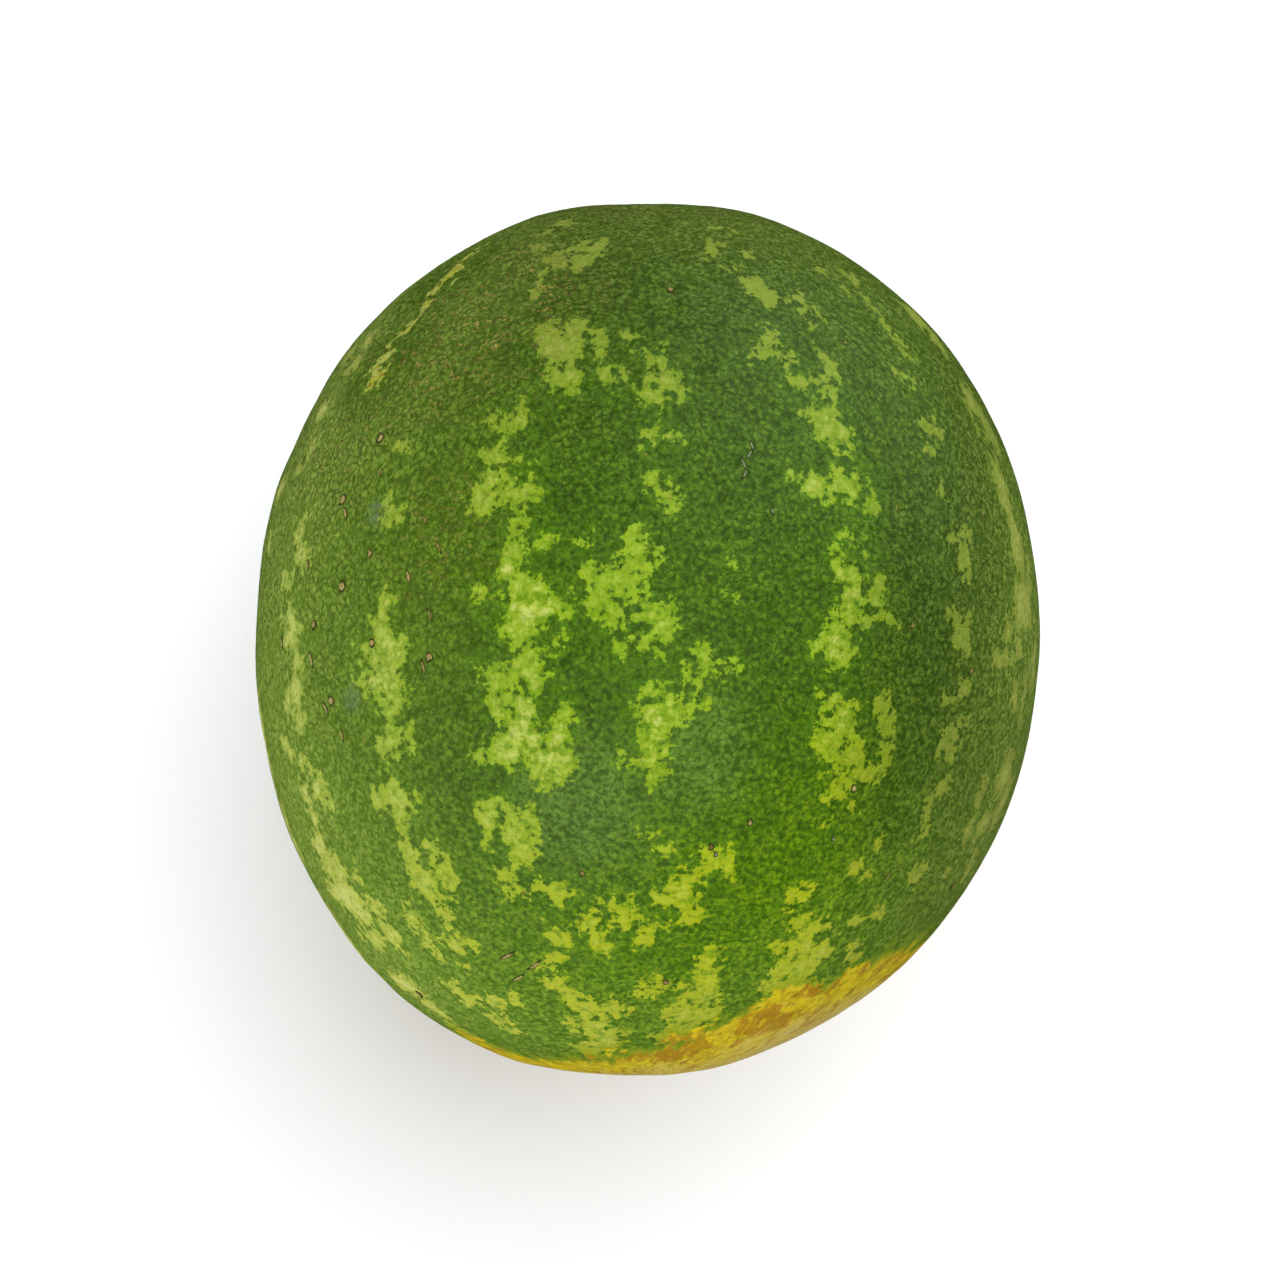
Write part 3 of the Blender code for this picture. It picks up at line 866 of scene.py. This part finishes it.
def on_the_rind(round_at, along_at):
    """The point of the rind at a place, and the way out there."""
    outward = Vector(directions(round_at, along_at)) * half_size
    _, point, normal, _ = rind.ray_cast(heart + outward * AIM_FROM, -outward.normalized())
    return point, normal


def standing_on(point, normal, turn):
    """A frame on the rind: its z out, its x along the veins, turned by some degrees."""
    along = Vector((0.0, 1.0, 0.0))
    along = (along - normal * along.dot(normal)).normalized()
    along = Matrix.Rotation(math.radians(turn), 3, normal) @ along
    across = normal.cross(along)
    placed = Matrix((along, across, normal)).transposed().to_4x4()
    placed.translation = point
    return placed


def store_rim(piece, paleness):
    """Keeps how far out in its pad each vertex lies, 0 to 1, and how pale the pad is."""
    rim = [math.hypot(vert.co.x, vert.co.y) for vert in piece.data.vertices]
    store(piece.data, "rim", rim)
    store(piece.data, "paleness", [paleness] * len(rim))


def add_pad(round_at, along_at, length, width, turn, paleness):
    """A flattened ball with a ragged rim, bent a little and grown into the rind."""
    deselect_all()
    bpy.ops.mesh.primitive_uv_sphere_add(segments=PAD_SEGMENTS, ring_count=PAD_RINGS, radius=1.0)
    pad = bpy.context.object
    store_rim(pad, paleness)
    moved = []
    own_place = Vector((round_at, along_at, 0.0))
    for vert in pad.data.vertices:
        ragged = 1.0 + PAD_RAGGEDNESS * noise.noise(vert.co * PAD_RAGGED_SCALE + own_place)
        bent = PAD_BEND * vert.co.x * vert.co.x * width
        moved.extend((
            vert.co.x * ragged * length / 2 * MM,
            (vert.co.y * ragged * width / 2 + bent) * MM,
            vert.co.z * PAD_HEIGHT,
        ))
    pad.data.vertices.foreach_set("co", moved)
    point, normal = on_the_rind(round_at, along_at)
    pad.data.transform(standing_on(point, normal, turn))
    pad.data.shade_smooth()
    return pad


def cork_material():
    """Brown to tan cork with dark pits and a dark rim; the palest of it is wax."""
    material = bpy.data.materials.new("cork")
    material.use_nodes = True
    w = Wiring(material.node_tree)
    shader = material.node_tree.nodes["Principled BSDF"]
    grains = w.grit(w.put("ShaderNodeTexCoord").outputs["Object"], MARK_GRAIN_SIZE, 3.0, 0.6)
    paleness = w.attribute("paleness")
    tan = w.mix(paleness, MARK_BROWN, MARK_TAN)
    tan = w.mix(w.ramp(paleness, 1.2, 1.8), tan, MARK_WAX)
    tan = w.mix(w.ramp(grains, 0.5, 0.7), tan, MARK_PITS)
    rim = w.plus(w.attribute("rim"), w.swing(grains, 0.6))
    cork = w.mix(w.ramp(rim, 0.5, 0.82), tan, MARK_RIM)
    w.tree.links.new(cork, shader.inputs["Base Color"])
    shader.inputs["Roughness"].default_value = MARK_ROUGHNESS
    shader.inputs["Specular IOR Level"].default_value = MARK_SPECULAR
    bump = w.put("ShaderNodeBump", {"Height": grains, "Strength": 0.8, "Distance": MARK_RELIEF})
    w.tree.links.new(bump.outputs["Normal"], shader.inputs["Normal"])
    return material


pads = [add_pad(*mark) for mark in HEALED_SCRATCHES + HEALED_PRICKS + WAX_SPOTS]
deselect_all()
for pad in pads:
    pad.select_set(True)
bpy.context.view_layer.objects.active = pads[0]
bpy.ops.object.join()
corky_marks = bpy.context.object
corky_marks.name = "corky_marks"
cork = cork_material()
corky_marks.data.materials.clear()
corky_marks.data.materials.append(cork)
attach(corky_marks, "root")

# ---------------------------------------------------------------------------------------------
# The two end scars, both of dry brown cork: the blossom end's small button, where the flower fell,
# and the stem end's ringed disc, where the vine let go, with radial cracks and a sunken middle.
BLOSSOM_SCAR_RADIUS = 4.2 * MM
STEM_SCAR_RADIUS = 7.5 * MM
SCAR_SEGMENTS = 64
SCAR_RINGS = 40
SCAR_HALF_HEIGHT = 1.1 * MM
SCAR_SINK = 0.35 * MM
SCAR_PALENESS = 0.25  # the stem scar's; the blossom scar is brown all over
# Shares of the scar's radius, sideways, and of its half height, up and down.
SCAR_RAGGEDNESS = 0.14
SCAR_ROUGHNESS = 0.20
SCAR_CRACKS = 9
SCAR_CRACK_DEPTH = 0.28
RING_AT = 0.78
RING_WIDTH = 0.13
RING_RISE = 0.35
PIT_WIDTH = 0.25
PIT_DEPTH = 0.75


def scar_rise(place, end, ringed):
    """How far a place on top of a scar stands up: rough, cracked, and ringed round a pit."""
    out = math.hypot(place.x, place.y)
    angle = math.atan2(place.y, place.x)
    crack = abs(math.sin(angle * SCAR_CRACKS / 2 + 1.5 * noise.noise(place * 2.0)))
    rise = SCAR_ROUGHNESS * noise.noise(place * 4.0 + Vector((0.0, 0.0, end)))
    rise -= SCAR_CRACK_DEPTH * max(0.0, 1.0 - 5.0 * crack) * out
    if ringed:
        rise += RING_RISE * math.exp(-((out - RING_AT) / RING_WIDTH) ** 2)
        rise -= PIT_DEPTH * math.exp(-(out / PIT_WIDTH) ** 2)
    return rise


def add_scar(name, end, radius, ringed):
    """A round scar at one end of the fruit: end is +1 for the blossom end and -1 for the stem end."""
    deselect_all()
    bpy.ops.mesh.primitive_uv_sphere_add(
        segments=SCAR_SEGMENTS, ring_count=SCAR_RINGS, radius=1.0
    )
    scar = bpy.context.object
    scar.name = name
    store_rim(scar, SCAR_PALENESS if ringed else 0.0)
    moved = []
    for vert in scar.data.vertices:
        angle = math.atan2(vert.co.y, vert.co.x)
        round_it = Vector((math.cos(angle), math.sin(angle), end))
        ragged = 1.0 + SCAR_RAGGEDNESS * noise.noise(round_it * 1.7)
        rise = scar_rise(vert.co, end, ringed) if vert.co.z > 0.0 else 0.0
        moved.extend((
            vert.co.x * radius * ragged,
            vert.co.y * radius * ragged,
            (vert.co.z + rise) * SCAR_HALF_HEIGHT - SCAR_SINK,
        ))
    scar.data.vertices.foreach_set("co", moved)
    way_out = Vector((0.0, end, 0.0))
    point = rind.ray_cast(heart + way_out * half_size.y * AIM_FROM, -way_out)[1]
    scar.data.transform(way_out.to_track_quat("Z", "X").to_matrix().to_4x4())
    scar.data.transform(Matrix.Translation(point))
    scar.data.shade_smooth()
    scar.data.materials.clear()
    scar.data.materials.append(cork)
    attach(scar, "root")


add_scar("blossom_scar", 1, BLOSSOM_SCAR_RADIUS, False)
add_scar("stem_scar", -1, STEM_SCAR_RADIUS, True)

# ---------------------------------------------------------------------------------------------
# The floor: a plain, pale, matt sheet. It stays out of the wax's shine.
FLOOR_SIZE = 16.0
FLOOR_WHITE = (0.82, 0.83, 0.87, 1.0)
FLOOR_ROUGHNESS = 0.9
FLOOR_SPECULAR = 0.1

deselect_all()
bpy.ops.mesh.primitive_plane_add(size=FLOOR_SIZE, location=(0.0, 0.0, low.z))
floor = bpy.context.object
floor.name = "floor"
floor_material = bpy.data.materials.new("pale_floor")
floor_material.use_nodes = True
floor_shader = floor_material.node_tree.nodes["Principled BSDF"]
floor_shader.inputs["Base Color"].default_value = FLOOR_WHITE
floor_shader.inputs["Roughness"].default_value = FLOOR_ROUGHNESS
floor_shader.inputs["Specular IOR Level"].default_value = FLOOR_SPECULAR
floor.data.materials.append(floor_material)
floor.visible_glossy = False


# The light: a wide soft key from the far right, a weak fill across from it, an even white room, and
# three lights that only show as a shine on the wax.
LIGHT_DISTANCE = 1.5
ROOM_LIGHT = 0.43
WARM_WHITE = (1.0, 0.99, 0.97)
COOL_WHITE = (0.85, 0.93, 1.0)
LEAFY_WHITE = (0.95, 1.0, 0.6)


def add_softbox(name, toward, lean, size, watts, colour, mirrored):
    """A round soft light: toward is the compass direction it comes from, lean its degrees from
    straight above. A mirrored one only shows in the wax, and any other only lights."""
    data = bpy.data.lights.new(name, "AREA")
    data.shape = "DISK"
    data.size = size
    data.energy = watts
    data.color = colour
    light = bpy.data.objects.new(name, data)
    bpy.context.scene.collection.objects.link(light)
    flat = Vector((toward[0], toward[1], 0.0)).normalized() * math.sin(math.radians(lean))
    way = Vector((flat.x, flat.y, math.cos(math.radians(lean))))
    light.location = heart + way * LIGHT_DISTANCE
    light.rotation_euler = way.to_track_quat("Z", "Y").to_euler()
    light.visible_camera = False
    light.visible_glossy = mirrored
    light.visible_diffuse = not mirrored


add_softbox("key_light", (0.45, 0.89), 40, 2.5, 47.0, WARM_WHITE, False)
add_softbox("fill_light", (-0.60, -0.80), 65, 2.0, 20.0, WARM_WHITE, False)
add_softbox("window_sheen", (0.62, 0.78), 78, 1.8, 8.0, COOL_WHITE, True)
add_softbox("sheen_left", (-0.42, -0.9), 40, 0.32, 3.4, LEAFY_WHITE, True)
add_softbox("sheen_right", (0.41, -0.91), 29, 0.32, 2.6, LEAFY_WHITE, True)

room = bpy.data.worlds.new("white_room")
room.use_nodes = True
room.node_tree.nodes["Background"].inputs["Color"].default_value = (1.0, 1.0, 1.0, 1.0)
room.node_tree.nodes["Background"].inputs["Strength"].default_value = ROOM_LIGHT
room.cycles_visibility.glossy = False
bpy.context.scene.world = room
bpy.context.scene.view_settings.view_transform = "Standard"

# The camera looks straight down on the fruit.
CAMERA_HEIGHT = 1.30  # above the fruit's heart
CAMERA_SIDEWAYS = -2.44 * MM
CAMERA_TURN = 2.0  # degrees
SENSOR_WIDTH = 36.0
FRAME_WIDTH = 1.6327 * 2 * half_size.x  # of what it sees at the heart's height

camera_data = bpy.data.cameras.new("camera")
camera_data.sensor_width = SENSOR_WIDTH
camera_data.lens = SENSOR_WIDTH * CAMERA_HEIGHT / FRAME_WIDTH
camera = bpy.data.objects.new("camera", camera_data)
bpy.context.scene.collection.objects.link(camera)
camera.location = heart + Vector((CAMERA_SIDEWAYS, 0.0, CAMERA_HEIGHT))
camera.rotation_euler = (0.0, 0.0, math.radians(CAMERA_TURN))
bpy.context.scene.camera = camera
